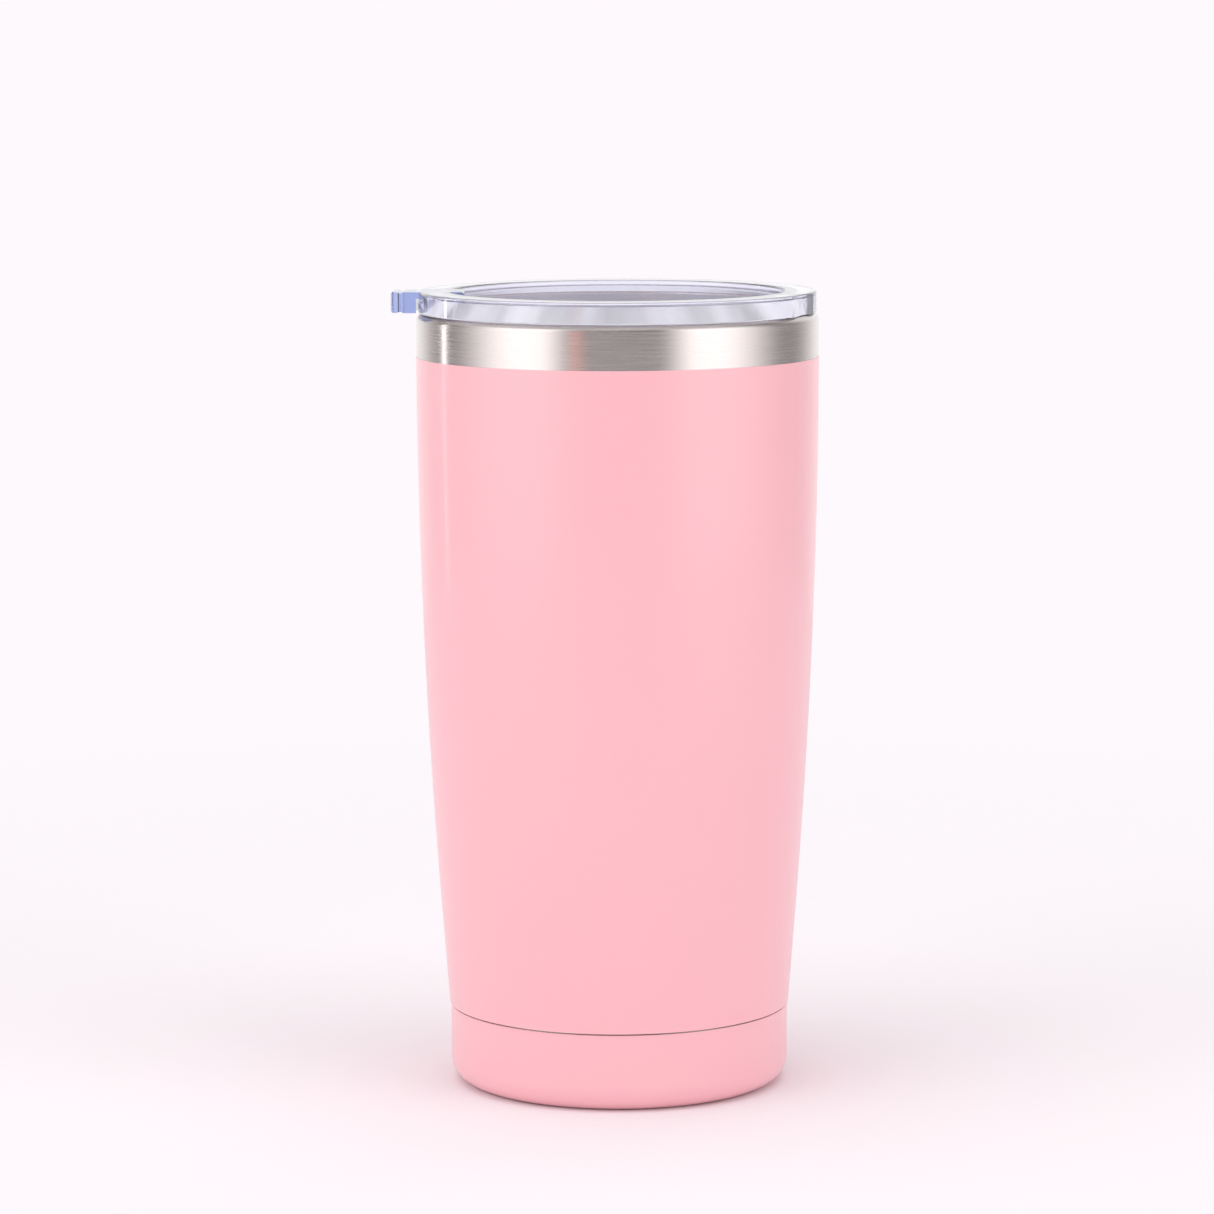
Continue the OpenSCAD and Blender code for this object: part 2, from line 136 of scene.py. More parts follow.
class LidSizes(bpy.types.PropertyGroup):
    """Sizes of the clear lid."""

    flange_height: FloatProperty(
        name="Flange", description="Height of the flange over the rim",
        default=4.7 * MM, unit="LENGTH")
    top_edge: FloatProperty(
        name="Top edges", description="Rounding of the flange's upper edges",
        default=0.6 * MM, unit="LENGTH")
    low_edge: FloatProperty(
        name="Low edge", description="Rounding of the flange's lower edge",
        default=0.4 * MM, unit="LENGTH")
    rest_gap: FloatProperty(
        name="Rest gap", description="Room between the steel lip and the flange",
        default=0.3 * MM, unit="LENGTH")
    well: FloatProperty(
        name="Well", description="Depth of the sunken top",
        default=8.0 * MM, unit="LENGTH")
    floor: FloatProperty(
        name="Well floor", description="Thickness of the well's floor",
        default=2.4 * MM, unit="LENGTH")
    plug_wall: FloatProperty(
        name="Plug wall", description="Thickness of the plug's wall",
        default=2.8 * MM, unit="LENGTH")
    plug_gap: FloatProperty(
        name="Plug gap", description="Room between the plug and the mouth",
        default=0.6 * MM, unit="LENGTH")
    plug_edge: FloatProperty(
        name="Plug edge", description="Rounding of the plug's lower edge",
        default=0.8 * MM, unit="LENGTH")
    groove: FloatProperty(
        name="Gasket groove", description="Depth of the gasket's groove",
        default=1.3 * MM, unit="LENGTH")
    fit: FloatProperty(
        name="Small fit", description="Room around the gasket and the trunnions",
        default=0.15 * MM, unit="LENGTH")
    flap_fit: FloatProperty(
        name="Flap fit", description="Room around the flap",
        default=0.3 * MM, unit="LENGTH")
    neck: FloatProperty(
        name="Neck", description="Thickness of the flap's neck over the rim",
        default=1.4 * MM, unit="LENGTH")
    neck_width: FloatProperty(
        name="Neck width", description="Width of the flap's neck",
        default=11 * MM, unit="LENGTH")
    grip: FloatProperty(
        name="Grip groove", description="Radius of the groove round the thumb tab",
        default=0.9 * MM, unit="LENGTH")
    grip_depth: FloatProperty(
        name="Grip depth", description="Depth of that groove",
        default=0.25 * MM, unit="LENGTH")
    grip_place: FloatProperty(
        name="Grip place", description="Distance of that groove from the tab's end",
        default=2.1 * MM, unit="LENGTH")
    bridge: FloatProperty(
        name="Bridge", description="Wall beside the neck's notch",
        default=2 * MM, unit="LENGTH")
    barrel: FloatProperty(
        name="Barrel", description="Radius of the flap's hinge barrel",
        default=2.1 * MM, unit="LENGTH")
    trunnion: FloatProperty(
        name="Trunnion", description="Radius of the flap's trunnions",
        default=1.1 * MM, unit="LENGTH")
    trunnion_length: FloatProperty(
        name="Trunnion length", description="Length of each trunnion",
        default=2 * MM, unit="LENGTH")
    ear: FloatProperty(
        name="Ear wall", description="Wall around the trunnions' sockets",
        default=1.2 * MM, unit="LENGTH")
    stop: FloatProperty(
        name="Stop rib", description="Thickness of the rib that stops the open flap",
        default=1.6 * MM, unit="LENGTH")
    stop_rise: FloatProperty(
        name="Stop rise", description="How far that rib rises over the hinge's axis",
        default=0.99 * MM, unit="LENGTH")
    sip_place: FloatProperty(
        name="Sip hole place", description="Distance of the sip hole from the axis",
        default=30.5 * MM, unit="LENGTH")
    sip_length: FloatProperty(
        name="Sip hole length", description="Length of the sip hole",
        default=15 * MM, unit="LENGTH")
    sip_width: FloatProperty(
        name="Sip hole width", description="Width of the sip hole",
        default=7 * MM, unit="LENGTH")
    sip_draft: FloatProperty(
        name="Sip hole draft", description="How much narrower the sip hole is below, on each side",
        default=0.45 * MM, unit="LENGTH")
    vent_place: FloatProperty(
        name="Vent place", description="Distance of the vent hole from the axis",
        default=34 * MM, unit="LENGTH")
    vent: FloatProperty(
        name="Vent", description="Radius of the vent hole",
        default=1.2 * MM, unit="LENGTH")
    gate_turn: FloatProperty(
        name="Gate turn",
        description="Direction of the trimmed moulding gate, towards the camera's right",
        default=math.radians(-22), subtype="ANGLE")
    gate_width: FloatProperty(
        name="Gate", description="Width of the flat left by the moulding gate",
        default=13 * MM, unit="LENGTH")


class TumblerColours(bpy.types.PropertyGroup):
    """Colours of the finishes."""

    paint: FloatVectorProperty(
        name="Paint", description="Pink enamel of the body and the base cup",
        default=linear("#F9BAC2"), subtype="COLOR")
    steel: FloatVectorProperty(
        name="Steel", description="Bare stainless steel",
        default=linear("#D4CBC9"), subtype="COLOR")
    liner: FloatVectorProperty(
        name="Liner", description="Stainless steel of the liner, polished clean",
        default=linear("#E4E0DE"), subtype="COLOR")
    clear: FloatVectorProperty(
        name="Clear lid", description="What a deep layer of the lid's plastic lets through",
        default=linear("#F4F2FE"), subtype="COLOR")
    tinted: FloatVectorProperty(
        name="Flap", description="What a deep layer of the flap's plastic lets through",
        default=linear("#9CABE0"), subtype="COLOR")
    silicone: FloatVectorProperty(
        name="Silicone", description="Gasket and stopper",
        default=linear("#ECECE8"), subtype="COLOR")
    solder: FloatVectorProperty(
        name="Solder glass", description="Glass bead that closes the vacuum",
        default=linear("#3A3F40"), subtype="COLOR")
    getter: FloatVectorProperty(
        name="Getter", description="Pellet that binds stray gas",
        default=linear("#4A4A4C"), subtype="COLOR")
    sweep: FloatVectorProperty(
        name="Sweep", description="Paper sweep under and behind the tumbler",
        default=linear("#F6F1F5"), subtype="COLOR")


class StudioSettings(bpy.types.PropertyGroup):
    """Camera and lamps of the photograph."""

    camera_place: FloatVectorProperty(
        name="Camera place", description="Where the camera stands",
        default=(-2.44 * MM, -1025.76 * MM, 237.48 * MM), subtype="TRANSLATION", unit="LENGTH")
    camera_tilt: FloatProperty(
        name="Camera tilt", description="Turn of the camera up from straight down",
        default=math.radians(82.598), subtype="ANGLE")
    camera_roll: FloatProperty(
        name="Camera roll", description="Turn of the camera about its own line of sight",
        default=math.radians(-0.1637), subtype="ANGLE")
    view_angle: FloatProperty(
        name="View angle", description="Angle that the square picture spans",
        default=math.radians(14.585), subtype="ANGLE")
    top_power: FloatProperty(
        name="Top softbox", description="Power of the softbox overhead",
        default=5.2, unit="POWER")
    front_power: FloatProperty(
        name="Front fill", description="Power of the broad fill behind the camera",
        default=2.0, unit="POWER")
    side_light: FloatProperty(
        name="Side light",
        description="What the two soft walls of light beside the camera add to the room",
        default=2.0, min=0.0)
    back_light: FloatProperty(
        name="Back light", description="What the bright room behind the tumbler adds",
        default=0.9, min=0.0)
    ceiling_light: FloatProperty(
        name="Ceiling", description="What the ceiling adds",
        default=0.5, min=0.0)
    room_light: FloatProperty(
        name="Room light", description="Brightness of the rest of the room",
        default=0.42, min=0.0)
    ceiling_tilt: FloatProperty(
        name="Ceiling tilt",
        description="How much lower the ceiling hangs on the left than on the right",
        default=0.24, min=0.0, max=1.0)
    through_light: FloatProperty(
        name="Light through the lid",
        description="Brightness of the surroundings behind the clear lid",
        default=1.3, min=0.0)
    gap_light: FloatProperty(
        name="Gap of light", description="What a narrow bright gap on the left adds",
        default=5.0, min=0.0)
    warm_light: FloatProperty(
        name="Warm stand", description="What a warm stand to the left of the camera adds",
        default=0.7, min=0.0)


def node(tree, kind, sockets=None, **settings):
    """Adds a node with its settings, and links or sets its sockets."""
    made = tree.nodes.new(kind)
    for name, value in settings.items():
        setattr(made, name, value)
    for name, value in (sockets or {}).items():
        if isinstance(value, bpy.types.NodeSocket):
            tree.links.new(value, made.inputs[name])
        else:
            made.inputs[name].default_value = value
    return made


def blank(name):
    """A new node material with its tree, its output node and its Object coordinates."""
    made = bpy.data.materials.new(name)
    made.use_nodes = True
    tree = made.node_tree
    tree.nodes.clear()
    output = node(tree, "ShaderNodeOutputMaterial")
    place = node(tree, "ShaderNodeTexCoord").outputs["Object"]
    return made, tree, output, place


def per_metre(size_mm):
    """Texture scale at which one cell of the pattern has that size."""
    return 1 / (size_mm * MM)


def baked_enamel(name, colour):
    """Sprayed and baked enamel: an even, soft gloss with the faint waves of orange peel."""
    made, tree, output, place = blank(name)
    cloud = node(tree, "ShaderNodeTexNoise", {
        "Vector": place, "Scale": per_metre(40), "Detail": 2.0})
    tone = node(tree, "ShaderNodeHueSaturation", {
        "Color": rgba(colour),
        "Value": node(tree, "ShaderNodeMapRange", {
            "Value": cloud.outputs["Fac"], "To Min": 0.985, "To Max": 1.015}).outputs["Result"]})
    # Orange peel of about 1.8 mm, with finer grain between its waves
    peel = node(tree, "ShaderNodeTexNoise", {
        "Vector": place, "Scale": per_metre(1.8), "Detail": 3.0})
    bump = node(tree, "ShaderNodeBump", {
        "Height": peel.outputs["Fac"], "Strength": 0.25, "Distance": 0.02 * MM})
    gloss = node(tree, "ShaderNodeMapRange", {
        "Value": peel.outputs["Fac"], "To Min": 0.28, "To Max": 0.36})
    shader = node(tree, "ShaderNodeBsdfPrincipled", {
        "Base Color": tone.outputs["Color"], "Roughness": gloss.outputs["Result"],
        "IOR": 1.5, "Coat Weight": 0.3, "Coat Roughness": 0.12, "Normal": bump.outputs["Normal"]})
    tree.links.new(shader.outputs["BSDF"], output.inputs["Surface"])
    return made


def brushed_steel(name, colour, line_mm, run_mm, depth_mm, rough_low, rough_high, anisotropy):
    """Stainless steel brushed around the axis: upright bands of light, crossed by fine lines."""
    made, tree, output, place = blank(name)
    run = per_metre(run_mm)
    lines = node(tree, "ShaderNodeMapping", {
        "Vector": place, "Scale": (run, run, per_metre(line_mm))})
    grain = node(tree, "ShaderNodeTexNoise", {
        "Vector": lines.outputs["Vector"], "Scale": 1.0, "Detail": 4.0, "Roughness": 0.65})
    tone = node(tree, "ShaderNodeHueSaturation", {
        "Color": rgba(colour),
        "Value": node(tree, "ShaderNodeMapRange", {
            "Value": grain.outputs["Fac"], "From Min": 0.3, "From Max": 0.7,
            "To Min": 0.96, "To Max": 1.03}).outputs["Result"]})
    rough = node(tree, "ShaderNodeMapRange", {
        "Value": grain.outputs["Fac"], "From Min": 0.3, "From Max": 0.7,
        "To Min": rough_low, "To Max": rough_high})
    bump = node(tree, "ShaderNodeBump", {
        "Height": grain.outputs["Fac"], "Strength": 0.3, "Distance": depth_mm * MM})
    shader = node(tree, "ShaderNodeBsdfPrincipled", {
        "Base Color": tone.outputs["Color"], "Metallic": 1.0, "Roughness": rough.outputs["Result"],
        "Anisotropic": anisotropy, "Anisotropic Rotation": 0.25, "Normal": bump.outputs["Normal"]})
    tree.links.new(shader.outputs["BSDF"], output.inputs["Surface"])
    return made


def clear_plastic(name, colour, depth_mm):
    """Injection moulded polystyrene: nearly glass clear, with a tint that deepens with the way."""
    made, tree, output, place = blank(name)
    # Sink and flow leave slow waves of about 9 mm, and handling leaves fine haze
    flow = node(tree, "ShaderNodeTexNoise", {
        "Vector": place, "Scale": per_metre(9), "Detail": 1.0})
    haze = node(tree, "ShaderNodeTexNoise", {
        "Vector": place, "Scale": per_metre(0.8), "Detail": 4.0})
    bump = node(tree, "ShaderNodeBump", {
        "Height": flow.outputs["Fac"], "Strength": 0.3, "Distance": 0.12 * MM})
    rough = node(tree, "ShaderNodeMapRange", {
        "Value": haze.outputs["Fac"], "From Min": 0.35, "From Max": 0.75,
        "To Min": 0.015, "To Max": 0.05})
    # Scuffs scatter a small share of the light, which keeps the edges pale
    shader = node(tree, "ShaderNodeBsdfPrincipled", {
        "Base Color": rgba(linear("#FBFBFF")), "Roughness": rough.outputs["Result"], "IOR": 1.57,
        "Transmission Weight": 0.93, "Normal": bump.outputs["Normal"]})
    # The tint is what a layer of depth_mm lets through
    dark = max(-math.log(c) for c in colour)
    body = node(tree, "ShaderNodeVolumeAbsorption", {
        "Color": rgba([1 + math.log(c) / dark for c in colour]), "Density": dark / (depth_mm * MM)})
    tree.links.new(shader.outputs["BSDF"], output.inputs["Surface"])
    tree.links.new(body.outputs["Volume"], output.inputs["Volume"])
    return made


def grained(name, colour, grain_mm, depth_mm, rough_low, rough_high, **sockets):
    """A fine grained surface: the grain breaks up its gloss and its relief."""
    made, tree, output, place = blank(name)
    grain = node(tree, "ShaderNodeTexNoise", {
        "Vector": place, "Scale": per_metre(grain_mm), "Detail": 2.0})
    tone = node(tree, "ShaderNodeHueSaturation", {
        "Color": rgba(colour),
        "Value": node(tree, "ShaderNodeMapRange", {
            "Value": grain.outputs["Fac"], "To Min": 0.95, "To Max": 1.05}).outputs["Result"]})
    bump = node(tree, "ShaderNodeBump", {
        "Height": grain.outputs["Fac"], "Strength": 0.3, "Distance": depth_mm * MM})
    rough = node(tree, "ShaderNodeMapRange", {
        "Value": grain.outputs["Fac"], "To Min": rough_low, "To Max": rough_high})
    shader = node(tree, "ShaderNodeBsdfPrincipled", {
        "Base Color": tone.outputs["Color"], "Roughness": rough.outputs["Result"],
        "Normal": bump.outputs["Normal"], **sockets})
    tree.links.new(shader.outputs["BSDF"], output.inputs["Surface"])
    return made


def moulded_silicone(name, colour):
    """Moulded silicone: milky, and matt from the tool's blasted finish of about 0.15 mm."""
    return grained(name, colour, grain_mm=0.15, depth_mm=0.02, rough_low=0.42, rough_high=0.58, **{
        "IOR": 1.41, "Transmission Weight": 0.25, "Subsurface Weight": 0.5,
        "Subsurface Radius": (1.0, 1.0, 1.0), "Subsurface Scale": 1 * MM})


def body_radius(z, sizes, rim_radius):
    """Radius of the bare steel body at a height: a straight top, one long arc and a cone."""
    drop = sizes.shoulder - sizes.straight_height - z
    reach = sizes.curve_radius * math.sin(sizes.taper)
    if drop <= 0:
        return rim_radius
    if drop <= reach:
        return rim_radius - sizes.curve_radius + math.sqrt(sizes.curve_radius ** 2 - drop ** 2)
    cone_top = rim_radius - sizes.curve_radius * (1 - math.cos(sizes.taper))
    return cone_top - (drop - reach) * math.tan(sizes.taper)


def body_side(low, high, sizes, rim_radius, steps=40):
    """Profile of the steel body's outside between two heights."""
    levels = [low + (high - low) * i / steps for i in range(steps + 1)]
    return [(body_radius(z, sizes, rim_radius), z) for z in levels]


def spun(profile):
    """A bmesh of (radius, height) points spun about the axis, closed if it starts off the axis."""
    bm = bmesh.new()
    ring = [bm.verts.new((r, 0.0, z)) for r, z in profile]
    after = ring[1:] + (ring[:1] if profile[0][0] else [])
    edges = [bm.edges.new((a, b)) for a, b in zip(ring, after)]
    bmesh.ops.spin(bm, geom=ring + edges, cent=(0, 0, 0), axis=(0, 0, 1), angle=math.tau,
                   steps=SPIN_STEPS, use_merge=True)
    bmesh.ops.remove_doubles(bm, verts=bm.verts, dist=MERGE)
    bmesh.ops.recalc_face_normals(bm, faces=bm.faces)
    return bm


def arc(centre, radius, start, end, steps=8):
    """Points of an arc in the profile's plane, between two angles from the radius axis."""
    turns = [start + (end - start) * i / steps for i in range(steps + 1)]
    return [(centre[0] + radius * math.cos(a), centre[1] + radius * math.sin(a)) for a in turns]


def round_edges(bm, width):
    """Bevels the square edges of a closed bmesh."""
    sharp = [e for e in bm.edges if e.calc_face_angle() > SQUARE_EDGE]
    bmesh.ops.bevel(bm, geom=sharp, offset=width, offset_type="OFFSET", segments=3, profile=0.5,
                    affect="EDGES", clamp_overlap=True, material=-1)


def block(bm, low, high, turn=0.0):
    """Adds a box between two corners, turned about the axis."""
    low, high = Vector(low), Vector(high)
    bmesh.ops.create_cube(bm, size=1.0, matrix=(
        Matrix.Rotation(turn, 4, "Z")
        @ Matrix.Translation((low + high) / 2)
        @ Matrix.Diagonal((*(high - low), 1.0))))


def rod(bm, radius, length, place, lying=False):
    """Adds a round bar with its middle at a place, upright or lying along Y."""
    turn = Matrix.Rotation(math.pi / 2, 4, "X") if lying else Matrix()
    bmesh.ops.create_cone(
        bm, cap_ends=True, segments=ROD_STEPS, radius1=radius, radius2=radius, depth=length,
        matrix=Matrix.Translation(place) @ turn)


def long_hole(bm, length, low_radius, radius, height, place):
    """Adds a tapered plug with round ends along Y: a cone whose halves are moved apart."""
    half_step = Matrix.Rotation(math.pi / ROD_STEPS, 4, "Z")
    made = bmesh.ops.create_cone(
        bm, cap_ends=True, segments=ROD_STEPS, radius1=low_radius, radius2=radius, depth=height,
        matrix=half_step)["verts"]
    for side in (-1, 1):
        end = [v for v in made if v.co.y * side > 0]
        bmesh.ops.translate(bm, verts=end, vec=(0, side * (length / 2 - radius), 0))
    bmesh.ops.translate(bm, verts=made, vec=place)


def carved(bm, tool, operation):
    """The bmesh after a tool of several solids is joined to it or cut from it."""
    pair = []
    for part in (bm, tool):
        mesh = bpy.data.meshes.new("carved")
        part.to_mesh(mesh)
        part.free()
        pair.append(bpy.data.objects.new("carved", mesh))
        bpy.context.scene.collection.objects.link(pair[-1])
    cut = pair[0].modifiers.new("carved", "BOOLEAN")
    cut.operation, cut.solver, cut.use_self, cut.object = operation, "EXACT", True, pair[1]
    made = bmesh.new()
    made.from_object(pair[0], bpy.context.evaluated_depsgraph_get())
    for used in pair:
        bpy.data.meshes.remove(used.data)
    return made


def piece(name, bm, body, slot, finish, *nodes):
    """Turns a bmesh into a finished piece that rides a body and stands for its CAD nodes."""
    mesh = bpy.data.meshes.new(name)
    bm.to_mesh(mesh)
    bm.free()
    mesh.shade_smooth()
    mesh.set_sharp_from_angle(angle=SHARP_EDGE)
    mesh.materials.append(finish)
    made = bpy.data.objects.new(name, mesh)
    bpy.context.scene.collection.objects.link(made)
    # Broad faces keep their own shading beside their rounded edges
    made.modifiers.new("weighted_normal", "WEIGHTED_NORMAL").keep_sharp = True
    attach(made, body)
    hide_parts(*nodes)
    return made


def finish_nodes(finish, *nodes):
    """Gives CAD nodes that stay a finished material."""
    for name in nodes:
        for place in frame["nodes"][name].material_slots:
            place.material = finish


class TUMBLER_OT_paint(bpy.types.Operator):
    """Spins the paint skin of the body and paints the base cup"""

    bl_idname = "tumbler.paint"
    bl_label = "Paint"

    def execute(self, context):
        sizes = context.scene.tumbler_sizes
        enamel = baked_enamel("baked_pink_enamel", context.scene.tumbler_colours.paint)
        low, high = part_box("colour_coat")
        rim_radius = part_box("outer_shell")[1].x
        coat = high.x - body_radius(high.z, sizes, rim_radius)
        outside = [(r + coat, z) for r, z in body_side(low.z, high.z, sizes, rim_radius)]
        inside = [(r - coat, z) for r, z in reversed(outside)]
        bm = spun(outside + inside)
        round_edges(bm, sizes.paint_edge)
        piece("paint_skin", bm, "tumbler", "pink_coat", enamel, "colour_coat")
        finish_nodes(enamel, "base_cup")
        return {"FINISHED"}


class TUMBLER_OT_steel(bpy.types.Operator):
    """Spins the shell with its bevelled lip, and finishes the liner and the vacuum closure"""

    bl_idname = "tumbler.steel"
    bl_label = "Steel"

    def execute(self, context):
        colours = context.scene.tumbler_colours
        # Lines of a belt or a drawing die are 0.1 mm or finer, and drawn coarser so that they show
        band = brushed_steel(
            "belt_brushed_stainless_steel", colours.steel, line_mm=0.25, run_mm=14,
            depth_mm=0.004, rough_low=0.2, rough_high=0.3, anisotropy=0.85)
        satin = brushed_steel(
            "satin_drawn_stainless_steel", colours.liner, line_mm=0.5, run_mm=60,
            depth_mm=0.0015, rough_low=0.26, rough_high=0.36, anisotropy=0.5)
        shell = self.shell(context.scene.tumbler_sizes)
        piece("steel_shell", shell, "tumbler", "rim_steel", band, "outer_shell")
        finish_nodes(satin, "liner_wall", "liner_bottom", "vacuum_pan", "getter_holder")
        # Fused glass solder is dark and smooth, a pressed getter is dull and grainy
        glass = grained("fused_solder_glass", colours.solder, grain_mm=0.6, depth_mm=0.005,
                        rough_low=0.08, rough_high=0.2)
        powder = grained("pressed_getter_powder", colours.getter, grain_mm=0.12, depth_mm=0.03,
                         rough_low=0.7, rough_high=0.9)
        finish_nodes(glass, "seal_bead")
        finish_nodes(powder, "getter_pellet")
        return {"FINISHED"}

    def shell(self, sizes):
        """The drawn tube: neck, side, rounded shoulder, bevel and round lip, all of one sheet."""
        low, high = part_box("outer_shell")
        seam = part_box("colour_coat")[0].z
        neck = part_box("vacuum_pan")[1].x + sizes.sheet
        rim_radius = high.x
        shoulder = (rim_radius - sizes.shoulder_radius, sizes.shoulder - sizes.shoulder_radius)
        lip = (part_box("liner_wall")[1].x, high.z - sizes.sheet)
        slope = math.pi / 2 - sizes.bevel
        outside = [(neck, low.z), (neck, seam)]
        outside += body_side(seam, shoulder[1], sizes, rim_radius)
        outside += arc(shoulder, sizes.shoulder_radius, 0, slope)
        outside += arc(lip, sizes.sheet, slope, math.pi)
        inside = [lip]
        inside += arc(shoulder, sizes.shoulder_radius - sizes.sheet, slope, 0)
        side = body_side(seam + sizes.sheet, shoulder[1], sizes, rim_radius)
        inside += [(r - sizes.sheet, z) for r, z in reversed(side)]
        inside += [(neck - sizes.sheet, seam + sizes.sheet), (neck - sizes.sheet, low.z)]
        return spun(outside + inside)


class TUMBLER_OT_lid(bpy.types.Operator):
    """Spins and carves the clear lid"""

    bl_idname = "tumbler.lid"
    bl_label = "Lid"

    def execute(self, context):
        colour = context.scene.tumbler_colours.clear
        clear = clear_plastic("moulded_clear_polystyrene", colour, CLEAR_DEPTH_MM)
        sizes = context.scene.tumbler_lid
        bm = spun(self.profile(context.scene.tumbler_sizes, sizes))
        bm = carved(bm, self.added(sizes), "UNION")
        bm = carved(bm, self.removed(sizes), "DIFFERENCE")
        lid = piece("clear_lid", bm, "lid", "clear_plastic", clear, "lid_body")
        # Clear plastic lets the light through to the steel inside
        lid.visible_shadow = False
        return {"FINISHED"}

    def profile(self, body, sizes):
        """Section of the lid: well floor, flange, groove over the lip, plug and gasket groove."""
        low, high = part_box("lid_body")
        seal_low, seal_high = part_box("lid_gasket")
        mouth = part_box("liner_wall")[1].x - body.sheet
        flange, top = high.y, high.z
        plug = mouth - sizes.plug_gap
        inner = plug - sizes.plug_wall
        edge = sizes.top_edge
        well = top - sizes.well
        # The groove's face keeps the rest gap to the steel bevel
        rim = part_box("outer_shell")[1].x
        rise = (body.shoulder_radius + sizes.rest_gap) / math.cos(body.bevel)
        start = (rim - body.shoulder_radius, body.shoulder - body.shoulder_radius + rise)
        corner = (flange - sizes.low_edge, top - sizes.flange_height + sizes.low_edge)
        slope = math.tan(body.bevel)
        away = (corner[1] - start[1] - (start[0] - corner[0]) * slope) * math.cos(body.bevel)
        cut = math.pi / 2 - body.bevel - math.acos(-away / sizes.low_edge)
        points = [(0.0, well), (inner, well)]
        points += arc((inner + edge, top - edge), edge, math.pi, math.pi / 2)
        points += arc((flange - edge, top - edge), edge, math.pi / 2, 0)
        points += arc(corner, sizes.low_edge, 0, cut)
        points += [(plug, start[1] + (start[0] - plug) * slope)]
        bed = plug - sizes.groove
        points += [(plug, seal_high.z + sizes.fit), (bed, seal_high.z + sizes.fit)]
        points += [(bed, seal_low.z - sizes.fit), (plug, seal_low.z - sizes.fit)]
        foot = (plug - sizes.plug_edge, low.z + sizes.plug_edge)
        points += arc(foot, sizes.plug_edge, 0, -math.pi / 2)
        points += [(inner, low.z), (inner, well - sizes.floor), (0.0, well - sizes.floor)]
        return points

    def hinge(self):
        """Place of the flap's hinge."""
        return next(Vector(joint["pos_m"]) for joint in frame["joints"]
                    if joint["name"] == "flap_hinge")

    def added(self, sizes):
        """Ears and stop rib of the flap's hinge, and the filling of the groove under the neck."""
        hinge = self.hinge()
        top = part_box("lid_body")[1].z
        floor = top - sizes.well - sizes.floor / 2
        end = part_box("flap")[1].y
        inside = end - sizes.trunnion_length + sizes.flap_fit
        outside = inside + sizes.trunnion_length + sizes.ear
        radius = sizes.trunnion + sizes.fit + sizes.ear
        stop = hinge.x + sizes.barrel + sizes.flap_fit
        stop_top = hinge.z + sizes.stop_rise
        bm = bmesh.new()
        for side in (-1, 1):
            near, far = sorted((side * inside, side * outside))
            block(bm, (hinge.x - radius, near, floor), (stop + sizes.stop / 2, far, stop_top))
            rod(bm, radius, outside - inside, (hinge.x, (near + far) / 2, hinge.z), lying=True)
        block(bm, (stop, -outside, floor), (stop + sizes.stop, outside, stop_top))
        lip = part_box("liner_wall")[1].x
        half = sizes.neck_width / 2 + sizes.flap_fit + sizes.bridge
        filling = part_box("outer_shell")[1].z + sizes.rest_gap
        block(bm, (-lip - sizes.neck, -half, filling),
              (-lip + sizes.plug_wall, half, top - sizes.top_edge))
        return bm

    def removed(self, sizes):
        """Notch for the neck, trunnion sockets, sip hole, vent hole and the gate's flat."""
        hinge = self.hinge()
        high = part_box("lid_body")[1]
        middle = high.z - sizes.well - sizes.floor / 2
        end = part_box("flap")[1].y
        outer = -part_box("flap")[0].x
        half = sizes.neck_width / 2 + sizes.flap_fit
        past = sizes.floor
        bm = bmesh.new()
        block(bm, (-outer, -half, high.z - sizes.neck - sizes.flap_fit),
              (hinge.x, half, high.z + past))
        rod(bm, sizes.trunnion + sizes.fit, 2 * (end + sizes.flap_fit), hinge, lying=True)
        narrow = sizes.sip_width / 2 - sizes.sip_draft
        long_hole(bm, sizes.sip_length, narrow, sizes.sip_width / 2, sizes.floor + 2 * HAIR,
                  (-sizes.sip_place, 0, middle))
        rod(bm, sizes.vent, sizes.floor + past, (sizes.vent_place, 0, middle))
        flat = math.sqrt(high.y ** 2 - (sizes.gate_width / 2) ** 2)
        block(bm, (flat, -sizes.gate_width, high.z - sizes.flange_height - past),
              (high.y + past, sizes.gate_width, high.z + past), sizes.gate_turn)
        return bm


class TUMBLER_OT_flap(bpy.types.Operator):
    """Carves the grip round the flap's thumb tab and tints the flap"""

    bl_idname = "tumbler.flap"
    bl_label = "Flap"

    def execute(self, context):
        colour = context.scene.tumbler_colours.tinted
        blue = clear_plastic("moulded_blue_polystyrene", colour, BLUE_DEPTH_MM)
        bm = self.shape(context.scene.tumbler_lid)
        flap = piece("blue_flap", bm, "flap", "clear_plastic", blue, "flap")
        # It lets the light through as the lid does
        flap.visible_shadow = False
        return {"FINISHED"}

    def shape(self, sizes):
        """The flap, with the grip grooves of its thumb tab carried on round the sides."""
        low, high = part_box("flap")
        bm = bmesh.new()
        bm.from_mesh(frame["nodes"]["flap"].data)
        bmesh.ops.remove_doubles(bm, verts=bm.verts, dist=MERGE)
        bmesh.ops.dissolve_limit(bm, angle_limit=FLAT, verts=bm.verts, edges=bm.edges)
        bmesh.ops.recalc_face_normals(bm, faces=bm.faces)
        tool = bmesh.new()
        x = low.x + sizes.grip_place
        reach = sizes.neck_width / 2 + sizes.grip - sizes.grip_depth
        for side in (-1, 1):
            rod(tool, sizes.grip, 2 * (high.z - low.z), (x, side * reach, high.z))
        return carved(bm, tool, "DIFFERENCE")


class TUMBLER_OT_seals(bpy.types.Operator):
    """Finishes the lid's gasket and the flap's stopper"""

    bl_idname = "tumbler.seals"
    bl_label = "Seals"

    def execute(self, context):
        colour = context.scene.tumbler_colours.silicone
        finish_nodes(moulded_silicone("moulded_silicone", colour), "lid_gasket", "flap_stopper")
        return {"FINISHED"}


